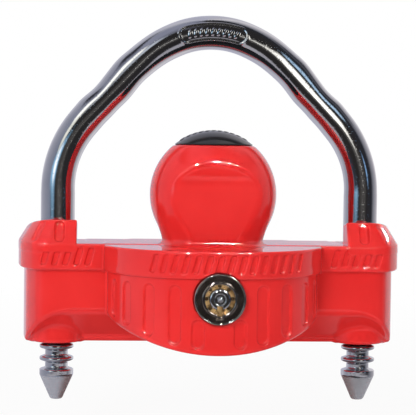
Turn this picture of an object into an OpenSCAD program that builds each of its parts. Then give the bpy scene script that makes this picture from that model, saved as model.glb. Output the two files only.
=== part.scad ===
// Trailer coupler lock: a cast body with a ball that fills the coupler's socket,
// held there by a U shackle with ratchet rings on both legs.
// The origin is the centre of the ball, the lock's face looks along -Y and +Z is up.

/* [Ball] */
// Diameter of the ball
ball_d = 46.4; // [45:0.1:48]
// Radius of the flatter dome on the ball's front
ball_front_r = 25.6; // [24.5:0.1:28]
// Distance from the ball's centre to the front dome
ball_front_y = 21.5; // [21:0.1:22.4]
// Distance from the ball's centre to the floor of the front pocket
pocket_y = 16.1; // [15:0.1:17.5]
// Height of the pocket's straight ceiling line above the ball's centre
pocket_top = 5.2; // [3:0.1:8]
// Lean of the pocket's ceiling from upright, in degrees
pocket_lean = 25; // [15:1:35]
// Diameter of the neck under the ball
neck_d = 36.8; // [34:0.1:38]
// Fillet between the neck and the deck
neck_fillet = 2.5; // [1.5:0.1:3.5]

/* [Cap] */
// Height of the cap's seat above the ball's centre
cap_seat = 18; // [17:0.1:19]
// Height of the cap's dome over its seat
cap_h = 5.35; // [4:0.05:6]
// Diameter of the cap's stem
cap_stem_d = 10; // [7:0.5:14]
// Length of the cap's stem
cap_stem_l = 8; // [5:0.5:12]
// Gap round the stem and under its end
cap_clear = 0.1; // [0.05:0.05:0.2]

/* [Deck and ears] */
// Depth of the deck under the ball's centre
deck_drop = 18.4; // [17.5:0.1:19.5]
// Radius of the round front shield
shield_r = 38.5; // [37.5:0.1:39.5]
// Distance from the ball's centre forward to the shield's axis
shield_y = 1.5; // [0.5:0.1:2.5]
// Depth of the shield's lowest point under the deck
shield_drop = 35.85; // [34:0.05:38]
// Radius of the shield's lower edge, seen from the front
shield_arc_r = 78; // [70:1:90]
// Height of the band round the deck's edge
band_h = 9.6; // [8.5:0.1:10.2]
// How far the band stands out from the shield
band_out = 1.5; // [1:0.1:2.2]
// How far the band stands out from the ears
ear_band_out = 2.1; // [1.5:0.1:2.6]
// Width across both ears, under the band
ear_w = 139.8; // [138:0.2:142]
// Width of the ears' flat front, under the band
ear_flat = 126; // [123:0.1:127]
// Length of the facet at each front corner
facet_l = 5.5; // [5:0.1:6.5]
// Turn of the corner facets away from the front, in degrees
facet_turn = 48; // [42:1:55]
// Distance from the ball's centre forward to the ears' front face
ear_front = 3; // [1.5:0.1:4]
// Distance from the ball's centre back to the flat back
body_back = 26; // [25.4:0.1:28]
// Size of the chamfers at the ears' back corners
ear_back_c = 3; // [2:0.5:5]
// Height of the ears from the deck to the underside
ear_h = 37.4; // [36:0.1:39]
// Depth of the front face's lower edge under the deck
bevel_drop = 25.1; // [24.4:0.1:26]
// Distance from the middle to where the bevel turns down to the corner
bevel_end = 56; // [54:0.1:58]
// Slope of the bevel's corner face, in degrees
bevel_tilt = 33; // [30:1:36]
// Turn of the corner face's slope away from sideways, in degrees
bevel_turn = 41; // [38:1:45]
// Distance of the lower lip's face behind the ball's centre
lip_y = 11; // [10:0.1:12]
// Height of the lower lip
lip_h = 2.5; // [2:0.1:3]
// Diameter of the boss round each leg's lower end
boss_d = 20; // [17.5:0.1:21]
// How far the bosses stand under the ears
boss_out = 0.2; // [0.1:0.1:1.5]

/* [Leg guards] */
// Height of the guards over the deck
guard_h = 8.55; // [7:0.05:10]
// How much lower the guards' tops are at the back
guard_fall = 3.6; // [2:0.1:5]
// How far the guards' sloped faces lean in over their height
guard_lean = 5.3; // [4:0.1:5.6]
// Distance from a leg's axis to the guard's inner face
guard_inner = 7.5; // [7.2:0.1:8.5]
// Width of the long recesses in a guard's sloped faces
recess_w = 4; // [3:0.1:4.2]
// Depth of those recesses
recess_depth = 0.9; // [0.4:0.1:1]
// Metal between a recess and the slope's upper and lower edge
recess_edge = 0.7; // [0.5:0.1:1.5]
// Distance from a leg's axis in to the front recess
recess_in = 1.2; // [0:0.1:3]
// Distance from a corner facet's front edge to its recess
recess_out = 3.6; // [3:0.1:4.2]

/* [Flutes] */
// Angles of the flutes from the shield's middle, in degrees
flute_angles = [11, 23.5, 39, 55.5, 69.5]; // [5:0.5:72]
// Width of a flute
flute_w = 4.4; // [3:0.1:4.8]
// Depth of a flute
flute_depth = 0.7; // [0.4:0.1:1]
// Distance from the band down to the flutes' upper ends
flute_gap = 2.3; // [1.5:0.1:4]
// Distance from the shield's lower edge up to the flutes' lower ends
flute_foot = 2; // [1.5:0.1:4]

/* [Shackle] */
// Diameter of the shackle's bar
leg_d = 12.7; // [12:0.1:13.2]
// Distance between the axes of the two legs
leg_spacing = 114.3; // [113:0.1:116]
// Distance of the shackle's plane behind the ball's centre
shackle_y = 15; // [14.6:0.1:15.2]
// Height of the bar's axis at the crown, over the ball's centre
crown_z = 60.2; // [58:0.1:70]
// Radius of the crown, at the bar's axis
crown_r = 36; // [32:0.5:38]
// Radius of the bend above each leg, at the bar's axis
bend_r = 38; // [34:0.5:40]
// Slope of the straight shoulders from upright, in degrees
shoulder_slope = 43.5; // [41:0.5:46]
// How much thinner the straight shoulders are than the bends, measured on the radius
shoulder_thin = 0.02; // [0.02:0.01:0.05]
// Gap between a leg and its bore
leg_clear = 0.3; // [0.25:0.05:0.4]

/* [Ratchet rings] */
// Distance from ring to ring
pitch = 4.6; // [4.4:0.05:4.8]
// Diameter of the neck between two rings
groove_d = 8.5; // [8:0.1:9]
// Length of the neck between two rings
groove_len = 2.2; // [2.1:0.1:2.5]
// Length of the slope at each side of a neck
groove_flank = 0.6; // [0.4:0.1:0.8]
// Number of grooves under the left bolt
grooves_below = 7; // [6:1:9]
// Number of grooves over the left bolt
grooves_above = 3; // [3:1:4]
// Length of the full-width part at a leg's end
tip_land = 2.1; // [1:0.1:4]
// Length of the point at a leg's end
tip_cone = 9.2; // [7:0.1:12]
// Diameter of the point's flat end
tip_d = 4.8; // [3:0.1:6]

/* [Lock] */
// Depth of the lock's axis under the deck
lock_drop = 16.2; // [15.8:0.1:16.6]
// Diameter of the lock barrel
barrel_d = 17.8; // [17.5:0.1:19]
// How far the barrel's face stands out from the shield
barrel_out = 2.1; // [1.6:0.1:3]
// Length of the barrel
barrel_l = 28; // [26:0.5:30]
// Gap round the barrel in its bore
barrel_clear = 0.05; // [0.03:0.01:0.1]
// Thickness of the housing round the barrel
barrel_wall = 3; // [2:0.1:4]
// Diameter of the ring keyway
keyway_d = 10.4; // [9.8:0.1:11]
// Depth of the ring keyway
keyway_depth = 3.6; // [3:0.1:5]
// Width of the keyway's notches
notch_w = 2; // [1.5:0.1:2.4]
// Depth of the notch in the barrel
notch_depth = 1.4; // [1:0.1:1.8]
// Diameter of the plug
plug_d = 12; // [11.8:0.1:12.6]
// Length of the plug
plug_l = 16; // [14:0.5:17]
// Gap round the turning plug and spindle
turn_clear = 0.05; // [0.03:0.01:0.1]
// Diameter of the spindle's post
post_d = 7.5; // [7:0.1:7.8]
// How far the post's end lies behind the barrel's face
post_back = 0.2; // [0.1:0.1:0.6]
// Diameter of the recess in the post's end
post_recess_d = 3.8; // [3:0.1:4.5]
// Depth of the recess in the post's end
post_recess = 0.6; // [0.3:0.1:1]
// Diameter of the spindle behind the post
spindle_d = 4.6; // [4.2:0.1:4.6]
// Diameter of the pins in the plug
pin_d = 1.4; // [1.2:0.05:1.4]
// Gap round a pin in its hole
pin_clear = 0.05; // [0.03:0.01:0.08]
// How far the key pins stand out of the plug
pin_out = 0.5; // [0.2:0.1:1]
// Gap between the plug and the pin block
shear_gap = 0.1; // [0.05:0.01:0.15]
// Length of the pin block
block_l = 7.7; // [7:0.1:8]
// Length of a driver pin
driver_l = 3; // [2.5:0.1:3.2]
// Length of a driver spring
driver_spring_l = 3.2; // [2.8:0.1:3.4]
// Wall of a driver spring
driver_spring_t = 0.3; // [0.2:0.05:0.4]
// Diameter of the dowel that holds the barrel
dowel_d = 3; // [2.5:0.1:3.5]
// How far the dowel reaches into the barrel
dowel_in = 1.4; // [1:0.1:1.8]
// Distance from the barrel's face to the dowel
dowel_y = 20; // [17:0.5:22]
// Gap round the dowel
dowel_clear = 0.02; // [0.01:0.01:0.05]

/* [Cam] */
// Radius at which the crank pins stand
crank_r = 3.6; // [3.3:0.1:3.9]
// Diameter of a crank pin
crank_d = 2.4; // [2:0.1:2.6]
// How far the crank pins reach into the bolts
crank_in = 8; // [5:0.5:10]
// Edge of the cam round a crank pin
cam_edge = 1.9; // [1.5:0.1:2.4]
// Thickness of the cam's disc
cam_t = 3; // [2.5:0.1:4]
// Diameter of the cam's hub
hub_d = 10; // [9:0.1:11]
// Length of the cam's hub
hub_l = 5; // [4.5:0.1:6]
// Diameter of the cross pin through the hub
cross_pin_d = 2; // [1.6:0.1:2.2]
// Gap between the cam and the bolts
cam_gap = 0.3; // [0.2:0.1:0.6]

/* [Bolts] */
// Depth of a bolt, front to back
bolt_depth = 11; // [10:0.1:11.6]
// Height of a bolt
bolt_h = 6; // [5.8:0.1:6.3]
// Gap between the two bolts
bolt_gap = 0.6; // [0.4:0.1:0.7]
// Height of the left bolt's blade over the lock's axis
blade_up = 1.9; // [1.8:0.1:2.4]
// Thickness of a bolt's blade
blade_t = 1.8; // [1.5:0.1:1.9]
// Gap between a locked blade and the leg's neck
fork_clear = 0.2; // [0.15:0.05:0.3]
// How far the fork's tips stop short of the leg's axis
fork_short = 1.2; // [1:0.1:2]
// Gap between a locked bolt's shoulder and the leg
shoulder_gap = 0.7; // [0.5:0.1:1]
// Gap on each side of a crank pin in its slot
slot_clear = 0.2; // [0.15:0.05:0.25]
// Metal of a bolt beyond its slot
slot_end = 1.6; // [1.2:0.1:2]
// Sliding gap round a bolt
bolt_clear = 0.2; // [0.1:0.05:0.3]
// Length of a bolt spring with the bolt drawn in
bolt_spring_l = 13; // [10:0.5:14]
// Outer diameter of a bolt spring
bolt_spring_d = 4.8; // [4:0.1:5.4]
// Wall of a bolt spring
bolt_spring_t = 0.7; // [0.5:0.1:0.9]

/* [Guide and rear cover] */
// Wall of the bolt guide's shelves
guide_t = 1.8; // [1.2:0.1:2.2]
// Length of the guide's spring stops
stop_l = 5.4; // [4.6:0.1:6]
// Width of the mechanism's chamber
chamber_w = 86; // [84:0.2:88]
// Thickness of the deck over the chamber
deck_t = 5; // [4:0.1:5.4]
// Depth of the chamber's floor under the deck
chamber_drop = 25.6; // [25.2:0.1:26.2]
// Distance of the chamber's side parts behind the ball's centre
chamber_front = 3; // [2.5:0.1:4]
// Wall of the shield
shield_wall = 5.5; // [4:0.1:6.5]
// Thickness of the rear cover
cover_t = 2.5; // [2:0.1:2.6]
// Width of the ledge that the cover sits on
ledge = 4; // [3.8:0.1:4.4]
// Gap round the cover
cover_clear = 0.15; // [0.1:0.05:0.25]
// Diameter of the cover's and the guide's screws
screw_d = 2.5; // [2:0.1:2.6]
// Length of the screws
screw_l = 9; // [7:0.5:10]
// Diameter of the screw heads
screw_head_d = 3.8; // [3.4:0.1:4]
// Width across the screws' hexagon sockets
socket_w = 1.5; // [1.2:0.1:1.6]

/* [Hidden] */
$fn = 96;

LEFT = -1;
RIGHT = 1;
PIN_SEATS = 8;
QUARTER_TURN = 90;
// Overrun of a cutting shape past the face that it cuts
over = 1;
deck_z = -deck_drop;
ear_bottom = deck_z - ear_h;
bevel_z = deck_z - bevel_drop;
lip_z = ear_bottom + lip_h;
bevel_slope = (bevel_z - lip_z) / (lip_y + ear_front);
facet_x = ear_flat / 2 + facet_l * cos(facet_turn);
facet_y = facet_l * sin(facet_turn) - ear_front;
side_turn = atan2(shackle_y - facet_y, ear_w / 2 - facet_x);
shield_bottom = deck_z - shield_drop;
leg_r = leg_d / 2;
leg_x = leg_spacing / 2;
bore_r = leg_r + leg_clear;
guard_top = deck_z + guard_h;
lock_z = deck_z - lock_drop;
face_y = -shield_y - shield_r - barrel_out;
barrel_end = face_y + barrel_l;
plug_front = face_y + keyway_depth;
plug_back = plug_front + plug_l;
block_front = plug_back + shear_gap;
pin_ring_r = (keyway_d + post_d) / 4;
driver_back = block_front + driver_l;
bolt_front = shackle_y - bolt_depth / 2;
cam_back = bolt_front - cam_gap;
cam_front = cam_back - cam_t;
hub_front = cam_front - hub_l;
crank_x = crank_r * sin(QUARTER_TURN / 2);
bolt_travel = 2 * crank_x;
slot_w = crank_d + 2 * slot_clear;
bolt_inner = crank_x + slot_w / 2 + slot_end;
stop_x = bolt_inner + bolt_spring_l;
guide_x = stop_x + stop_l;
cover_y = body_back - cover_t;
chamber_top = deck_z - deck_t;
chamber_floor = deck_z - chamber_drop;
chamber_x = chamber_w / 2;
cover_x = chamber_x + ledge;
screw_x = chamber_x + ledge / 2;
crown_centre = crown_z - crown_r;
bend_x = leg_x - bend_r;
shoulder_l = (leg_x - bend_r * (1 - cos(shoulder_slope)) - crown_r * cos(shoulder_slope))
    / sin(shoulder_slope);
bend_z = crown_centre + crown_r * sin(shoulder_slope)
    - shoulder_l * cos(shoulder_slope) - bend_r * sin(shoulder_slope);
cap_r = sqrt(pow(ball_d / 2, 2) - pow(cap_seat, 2));
cap_dome_r = (cap_r * cap_r + cap_h * cap_h) / (2 * cap_h);

// Height of a blade: the two bolts enter neighbouring grooves
function blade_z(side) = lock_z + blade_up - (side == RIGHT ? pitch : 0);
// Lower side of a bolt: the left bolt lies over the lock's axis and the right one under it
function bolt_z(side) = side == LEFT ? lock_z + bolt_gap / 2 : lock_z - bolt_gap / 2 - bolt_h;
// Depth of the shield's lower edge at a distance from the middle
function shield_edge(x) =
    shield_bottom + shield_arc_r - sqrt(shield_arc_r * shield_arc_r - x * x);

// Points of the ears' right front corner from above, grown outward
function ear_corner(grow) = let (
    half = (side_turn - facet_turn) / 2,
    out = grow / cos(half),
    aim = facet_turn + half
) [
    [ear_flat / 2 + grow * tan(facet_turn / 2), -ear_front - grow],
    [facet_x + out * sin(aim), facet_y - out * cos(aim)],
    [ear_w / 2 + grow, shackle_y]
];

// A box between two corners
module span(low, high) {
    translate(low) cube(high - low);
}

// A cylinder along +Y round the lock's axis
module along_y(y0, y1, d, x = 0, z = 0) {
    translate([x, y0, lock_z + z]) rotate([-90, 0, 0]) cylinder(d = d, h = y1 - y0);
}

// A prism along X with a profile of [y, z] points
module prism_x(x0, x1, profile) {
    translate([x0, 0, 0]) rotate([90, 0, 90]) linear_extrude(x1 - x0) polygon(profile);
}

// A prism along Y with a profile of [x, z] points
module prism_y(y0, y1, profile) {
    translate([0, y1, 0]) rotate([90, 0, 0]) linear_extrude(y1 - y0) polygon(profile);
}

// Outline of the ears from above, grown to the front and the sides
module ear_plan(grow) {
    w = ear_w / 2 + grow;
    right = concat(ear_corner(grow), [[w, body_back - ear_back_c], [w - ear_back_c, body_back]]);
    left = [for (k = [len(right) - 1 : -1 : 0]) [-right[k][0], right[k][1]]];
    polygon(concat(right, left));
}

module ball_and_neck() {
    reach = ball_d;
    rise = reach * cos(pocket_lean);
    difference() {
        union() {
            intersection() {
                sphere(d = ball_d);
                translate([0, ball_front_r - ball_front_y, 0]) sphere(r = ball_front_r);
            }
            translate([0, 0, deck_z - over]) cylinder(d = neck_d, h = deck_drop / 2 + over);
            rotate_extrude() difference() {
                translate([0, deck_z]) square([neck_d / 2 + neck_fillet, neck_fillet]);
                translate([neck_d / 2 + neck_fillet, deck_z + neck_fillet]) circle(neck_fillet);
            }
        }
        prism_x(-ball_d, ball_d, [[-pocket_y, deck_z - 2 * over], [-pocket_y, pocket_top],
            [-pocket_y - reach * sin(pocket_lean), pocket_top + rise],
            [-pocket_y - reach, pocket_top + rise], [-pocket_y - reach, deck_z - 2 * over]]);
        span([-ball_d, -ball_d, cap_seat], [ball_d, ball_d, ball_d]);
        translate([0, 0, cap_seat - cap_stem_l - cap_clear])
            cylinder(d = cap_stem_d + 2 * cap_clear, h = cap_stem_l + cap_clear + over);
    }
}

module flute(angle) {
    x = shield_r * sin(angle);
    half = barrel_d / 2;
    start = abs(x) < half ? lock_z - sqrt(half * half - x * x) : deck_z - band_h;
    top = start - flute_gap;
    foot = shield_edge(x) + flute_foot;
    translate([0, -shield_y, 0]) rotate([0, 0, angle]) translate([0, flute_depth - shield_r, 0])
        rotate([90, 0, 0]) linear_extrude(shield_r) {
            translate([-flute_w / 2, foot + flute_w / 2]) square([flute_w, top - foot - flute_w]);
            for (z = [foot, top - flute_w]) translate([0, z + flute_w / 2]) circle(d = flute_w);
        }
}

module shield() {
    difference() {
        intersection() {
            union() {
                translate([0, -shield_y, shield_bottom - over])
                    cylinder(r = shield_r, h = shield_drop + over);
                translate([0, -shield_y, deck_z - band_h])
                    cylinder(r = shield_r + band_out, h = band_h);
            }
            translate([0, 0, shield_bottom + shield_arc_r]) rotate([90, 0, 0])
                cylinder(r = shield_arc_r, h = 4 * shield_r, center = true);
            span([-2 * shield_r, -2 * shield_r, ear_bottom], [2 * shield_r, body_back, 0]);
        }
        for (s = [LEFT, RIGHT], a = flute_angles) flute(s * a);
    }
}

// Space under the corner face of the right ear's bevel
module under_corner() {
    reach = 2 * ear_w;
    translate([bevel_end, -ear_front, bevel_z]) rotate([0, 0, bevel_turn]) rotate([0, bevel_tilt, 0])
        span([-reach, -reach, -reach], [reach, reach, 0]);
}

module ears() {
    ahead = ear_w / 2;
    difference() {
        translate([0, 0, ear_bottom]) linear_extrude(ear_h) ear_plan(0);
        intersection() {
            prism_x(-ear_w, ear_w, [[lip_y, ear_bottom - over], [lip_y, lip_z],
                [lip_y - ahead, lip_z + ahead * bevel_slope], [lip_y - ahead, ear_bottom - over]]);
            under_corner();
            mirror([1, 0, 0]) under_corner();
        }
    }
    translate([0, 0, deck_z - band_h]) linear_extrude(band_h) ear_plan(ear_band_out);
    for (s = [LEFT, RIGHT]) translate([s * leg_x, shackle_y, ear_bottom - boss_out])
        cylinder(d = boss_d, h = boss_out + ear_h / 2);
}

// Space behind a guard's sloped face, which stands on a point of the ears' outline
module guard_slope(at, turn) {
    reach = ear_w;
    translate([at[0], at[1], 0]) rotate([0, 0, turn])
        prism_x(-reach, reach, [[0, deck_z - over], [0, deck_z], [guard_lean, guard_top],
            [reach, guard_top], [reach, deck_z - over]]);
}

// Guard of the right leg: a block with sloped front, corner and outer faces
module guard_block() {
    corner = ear_corner(ear_band_out);
    w = ear_w / 2 + ear_band_out;
    x0 = leg_x - guard_inner;
    y0 = corner[0][1];
    intersection() {
        guard_slope(corner[0], 0);
        guard_slope(corner[0], facet_turn);
        guard_slope(corner[1], side_turn);
        guard_slope(corner[2], 90);
        prism_x(x0, w, [[y0, deck_z - over], [y0, guard_top], [y0 + guard_lean, guard_top],
            [body_back, guard_top - guard_fall], [body_back, deck_z - over]]);
        translate([0, 0, deck_z - over]) linear_extrude(guard_h + over) polygon([[x0, y0], [w, y0],
            [w, body_back - ear_back_c], [w - ear_back_c, body_back], [x0, body_back]]);
    }
}

// Long recess in a guard's sloped face, which stands on a point of the ears' outline
module guard_recess(at, turn) {
    low = recess_edge + recess_w / 2;
    high = sqrt(guard_h * guard_h + guard_lean * guard_lean) - low;
    translate([at[0], at[1], deck_z]) rotate([0, 0, turn])
        rotate([-atan(guard_lean / guard_h), 0, 0]) translate([0, recess_depth, 0])
            rotate([90, 0, 0]) linear_extrude(guard_h) {
                translate([-recess_w / 2, low]) square([recess_w, high - low]);
                for (z = [low, high]) translate([0, z]) circle(d = recess_w);
            }
}

module bolt_window(side) {
    z0 = bolt_z(side) - bolt_clear;
    x0 = chamber_x - over;
    mirror([side == LEFT ? 1 : 0, 0, 0])
        span([x0, bolt_front - bolt_clear, z0],
            [leg_x, bolt_front + bolt_depth + bolt_clear, z0 + bolt_h + 2 * bolt_clear]);
}

module chamber() {
    span([-chamber_x, chamber_front, chamber_floor], [chamber_x, body_back + over, chamber_top]);
    span([-cover_x - cover_clear, cover_y, chamber_floor - ledge - cover_clear],
        [cover_x + cover_clear, body_back + over, chamber_top + ledge / 2 + cover_clear]);
    difference() {
        translate([0, -shield_y, chamber_floor])
            cylinder(r = shield_r - shield_wall, h = chamber_top - chamber_floor);
        along_y(-2 * shield_r, barrel_end, barrel_d + 2 * barrel_wall);
        span([-shield_r, chamber_front + over, chamber_floor - over],
            [shield_r, 2 * shield_r, chamber_top + over]);
    }
}

// Places of the rear cover's screws
module cover_screw_places() {
    for (s = [LEFT, RIGHT], z = [chamber_floor - ledge / 4, chamber_top - screw_d / 2])
        translate([s * screw_x, body_back, z]) rotate([90, 0, 0]) children();
}

// Places of the guide's screws, in its two stops
module guide_screw_places() {
    for (side = [LEFT, RIGHT])
        translate([-side * (stop_x + stop_l / 2), body_back, bolt_z(side) + bolt_h / 2])
            rotate([90, 0, 0]) children();
}

module screw() {
    difference() {
        union() {
            cylinder(d = screw_d, h = screw_l);
            cylinder(d1 = screw_head_d, d2 = screw_d, h = (screw_head_d - screw_d) / 2);
        }
        translate([0, 0, -over]) cylinder(d = socket_w / cos(30), h = over + socket_w / 2, $fn = 6);
    }
}

module screw_hole(d) {
    translate([0, 0, -over]) cylinder(d = d, h = screw_l + 2 * over);
    cylinder(d1 = screw_head_d, d2 = d, h = (screw_head_d - d) / 2);
}

module housing() {
    corner = ear_corner(ear_band_out);
    color("red") difference() {
        union() {
            ball_and_neck();
            shield();
            ears();
            guard_block();
            mirror([1, 0, 0]) guard_block();
        }
        chamber();
        along_y(face_y - over, barrel_end + over, barrel_d + 2 * barrel_clear);
        translate([0, face_y + dowel_y, ear_bottom - over])
            cylinder(d = dowel_d + 2 * dowel_clear, h = -ear_bottom + lock_z + over);
        for (s = [LEFT, RIGHT]) {
            translate([s * leg_x, shackle_y, ear_bottom - 2 * over])
                cylinder(r = bore_r, h = guard_top - ear_bottom + 4 * over);
            bolt_window(s);
        }
        for (s = [0, 1]) mirror([s, 0, 0]) {
            span([leg_x - guard_inner - over, shackle_y - bore_r, deck_z],
                [leg_x, body_back + over, guard_top + over]);
            guard_recess([leg_x - recess_in, corner[0][1]], 0);
            guard_recess(corner[0] + recess_out * [cos(facet_turn), sin(facet_turn)], facet_turn);
        }
        cover_screw_places() screw_hole(screw_d);
    }
}

module ball_cap() {
    color("dimgray") union() {
        intersection() {
            translate([0, 0, cap_seat + cap_h - cap_dome_r]) sphere(r = cap_dome_r);
            translate([0, 0, cap_seat]) cylinder(r = cap_r + over, h = cap_h + over);
        }
        translate([0, 0, cap_seat - cap_stem_l]) cylinder(d = cap_stem_d, h = cap_stem_l + over);
    }
}

module rear_cover() {
    color("firebrick") difference() {
        span([-cover_x, cover_y, chamber_floor - ledge], [cover_x, body_back, chamber_top + ledge / 2]);
        cover_screw_places() screw_hole(screw_d + 2 * cover_clear);
        guide_screw_places() screw_hole(screw_d + 2 * cover_clear);
    }
}

module cover_screws() {
    color("silver") cover_screw_places() screw();
}

module guide_screws() {
    color("silver") guide_screw_places() screw();
}

module lock_barrel() {
    color("dimgray") difference() {
        along_y(face_y, barrel_end, barrel_d);
        along_y(face_y - over, plug_front, keyway_d);
        along_y(plug_front - shear_gap, barrel_end + over, plug_d + 2 * turn_clear);
        span([-notch_w / 2, face_y - over, lock_z - keyway_d / 2 - notch_depth],
            [notch_w / 2, plug_front, lock_z]);
        translate([0, face_y + dowel_y, lock_z - barrel_d / 2 - over])
            cylinder(d = dowel_d + 2 * dowel_clear, h = over + dowel_in + dowel_clear);
    }
}

module barrel_pin() {
    top = lock_z - barrel_d / 2 + dowel_in;
    color("silver") translate([0, face_y + dowel_y, shield_bottom + over])
        cylinder(d = dowel_d, h = top - shield_bottom - over);
}

// Places on the pins' ring: one seat, at the notch, has no pin
module pin_seats(first) {
    for (k = [first : PIN_SEATS - 1]) rotate([0, k * 360 / PIN_SEATS, 0])
        translate([0, 0, -pin_ring_r]) children();
}

// Holes or pins on the ring, from y0 to y1
module pin_ring(first, y0, y1, d) {
    translate([0, 0, lock_z]) pin_seats(first)
        translate([0, y0, 0]) rotate([-90, 0, 0]) cylinder(d = d, h = y1 - y0, $fn = 24);
}

module lock_plug() {
    color("goldenrod") difference() {
        along_y(plug_front, plug_back, plug_d);
        along_y(plug_front - over, plug_back + over, spindle_d);
        pin_ring(1, plug_front - over, plug_back + over, pin_d + 2 * pin_clear);
    }
}

module spindle() {
    post_front = face_y + post_back;
    color("gainsboro") difference() {
        union() {
            along_y(post_front, plug_front, post_d);
            along_y(post_front + over, cam_back, spindle_d);
        }
        difference() {
            along_y(post_front - over, post_front + post_recess, post_recess_d);
            translate([0, post_front + post_recess, lock_z]) sphere(d = post_recess_d / 2);
        }
        span([-notch_w / 2, post_front - over, lock_z - post_d],
            [notch_w / 2, plug_front, lock_z - spindle_d / 2]);
        cross_pin_shape();
    }
}

// Upright cross pin through the cam's hub
module cross_pin_shape() {
    translate([0, hub_front + hub_l / 2, lock_z]) cylinder(d = cross_pin_d, h = hub_d, center = true);
}

module key_pins() {
    color("peru") pin_ring(1, plug_front - pin_out, plug_back, pin_d);
}

module pin_block() {
    hole_back = driver_back + driver_spring_l;
    color("goldenrod") difference() {
        along_y(block_front, block_front + block_l, plug_d);
        along_y(block_front - over, block_front + block_l + over, spindle_d + 2 * turn_clear);
        pin_ring(0, block_front - over, hole_back, pin_d + 2 * pin_clear);
    }
}

module driver_pins() {
    color("silver") pin_ring(1, block_front, driver_back, pin_d);
}

module driver_springs() {
    color("gray") difference() {
        pin_ring(1, driver_back, driver_back + driver_spring_l, pin_d);
        pin_ring(1, driver_back - over, driver_back + driver_spring_l + over,
            pin_d - 2 * driver_spring_t);
    }
}

module drive_cam() {
    color("slategray") difference() {
        union() {
            along_y(hub_front, cam_front + over, hub_d);
            along_y(cam_front, cam_back, 2 * (crank_r + crank_d / 2 + cam_edge));
        }
        along_y(hub_front - over, cam_back + over, spindle_d);
        crank_pin_shapes(cam_front - over);
        cross_pin_shape();
    }
}

// Crank pins at rest, with the bolts drawn in
module crank_pin_shapes(y0) {
    for (side = [LEFT, RIGHT])
        along_y(y0, bolt_front + crank_in, crank_d, -side * crank_x, -side * crank_x);
}

module crank_pins() {
    color("silver") crank_pin_shapes(cam_front);
}

module cam_pin() {
    color("silver") cross_pin_shape();
}

// A bolt, drawn in: a bar with an upright slot for its crank pin and a forked blade
module bolt(side) {
    z0 = bolt_z(side);
    y0 = bolt_front;
    y1 = bolt_front + bolt_depth;
    bar_end = leg_x - leg_r - shoulder_gap - bolt_travel;
    fork_end = leg_x - fork_short - bolt_travel;
    blade = blade_z(side);
    slot_low = crank_x - crank_d / 2 - slot_clear;
    slot_high = crank_r + crank_d / 2 + slot_clear;
    slot_z = side == LEFT ? lock_z + slot_low : lock_z - slot_high;
    mirror([side == LEFT ? 1 : 0, 0, 0]) difference() {
        union() {
            span([-bolt_inner, y0, z0], [bar_end, y1, z0 + bolt_h]);
            span([bar_end - over, y0, blade - blade_t / 2], [fork_end, y1, blade + blade_t / 2]);
        }
        translate([leg_x - bolt_travel, shackle_y, blade - blade_t])
            cylinder(d = groove_d + 2 * fork_clear, h = 2 * blade_t);
        span([-crank_x - slot_w / 2, y0 - over, slot_z],
            [-crank_x + slot_w / 2, y1 + over, slot_z + slot_high - slot_low]);
    }
}

module left_bolt() {
    color("lightsteelblue") bolt(LEFT);
}

module right_bolt() {
    color("lightsteelblue") bolt(RIGHT);
}

module bolt_spring(side) {
    color("gray") translate([-side * bolt_inner, shackle_y, bolt_z(side) + bolt_h / 2])
        rotate([0, -side * 90, 0]) difference() {
            cylinder(d = bolt_spring_d, h = bolt_spring_l);
            translate([0, 0, -over])
                cylinder(d = bolt_spring_d - 2 * bolt_spring_t, h = bolt_spring_l + 2 * over);
        }
}

module left_bolt_spring() {
    bolt_spring(LEFT);
}

module right_bolt_spring() {
    bolt_spring(RIGHT);
}

module bolt_guide() {
    y0 = bolt_front + bolt_clear;
    y1 = bolt_front + bolt_depth + bolt_clear;
    low = bolt_z(RIGHT) - bolt_clear;
    high = bolt_z(LEFT) + bolt_h + bolt_clear;
    color("darkgray") difference() {
        union() {
            span([-guide_x, y1, low - guide_t], [guide_x, cover_y, high + guide_t]);
            for (z = [low - guide_t, high])
                span([-guide_x, y0, z], [guide_x, y1 + over, z + guide_t]);
            for (side = [LEFT, RIGHT]) mirror([side == LEFT ? 1 : 0, 0, 0])
                span([-guide_x, y0, side == LEFT ? bolt_z(LEFT) : low - guide_t],
                    [-stop_x, y1 + over, side == LEFT ? high + guide_t : bolt_z(RIGHT) + bolt_h]);
        }
        guide_screw_places() screw_hole(screw_d);
    }
}

// Profile of a leg as [radius, height] points, from its point to the bend
function leg_profile() = let (
    low = blade_z(LEFT) - grooves_below * pitch,
    edge = groove_len / 2 + groove_flank,
    land = low - edge - tip_land,
    tip = land - tip_cone
) concat(
    [[0, tip], [tip_d / 2, tip], [leg_r, land]],
    [for (k = [0 : grooves_below + grooves_above], p = [[leg_r, -edge], [groove_d / 2, -groove_len / 2],
        [groove_d / 2, groove_len / 2], [leg_r, edge]]) [p[0], low + k * pitch + p[1]]],
    [[leg_r, bend_z], [0, bend_z]]
);

// A bent stretch of the bar in the shackle's plane, between two angles round a centre
module bar_bend(x, z, r, from, to) {
    translate([x, 0, z]) rotate([90, 0, 0]) rotate([0, 0, from])
        rotate_extrude(angle = to - from) translate([r, 0]) circle(leg_r);
}

module shackle() {
    color("silver") translate([0, shackle_y, 0]) {
        for (s = [0, 1]) mirror([s, 0, 0]) {
            translate([leg_x, 0, 0]) rotate_extrude() polygon(leg_profile());
            bar_bend(bend_x, bend_z, bend_r, 0, shoulder_slope);
            translate([bend_x + bend_r * cos(shoulder_slope), 0,
                       bend_z + bend_r * sin(shoulder_slope)])
                rotate([0, -shoulder_slope, 0]) translate([0, 0, -over])
                    cylinder(r = leg_r - shoulder_thin, h = shoulder_l + 2 * over);
        }
        bar_bend(0, crown_centre, crown_r, shoulder_slope, 180 - shoulder_slope);
    }
}

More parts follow.
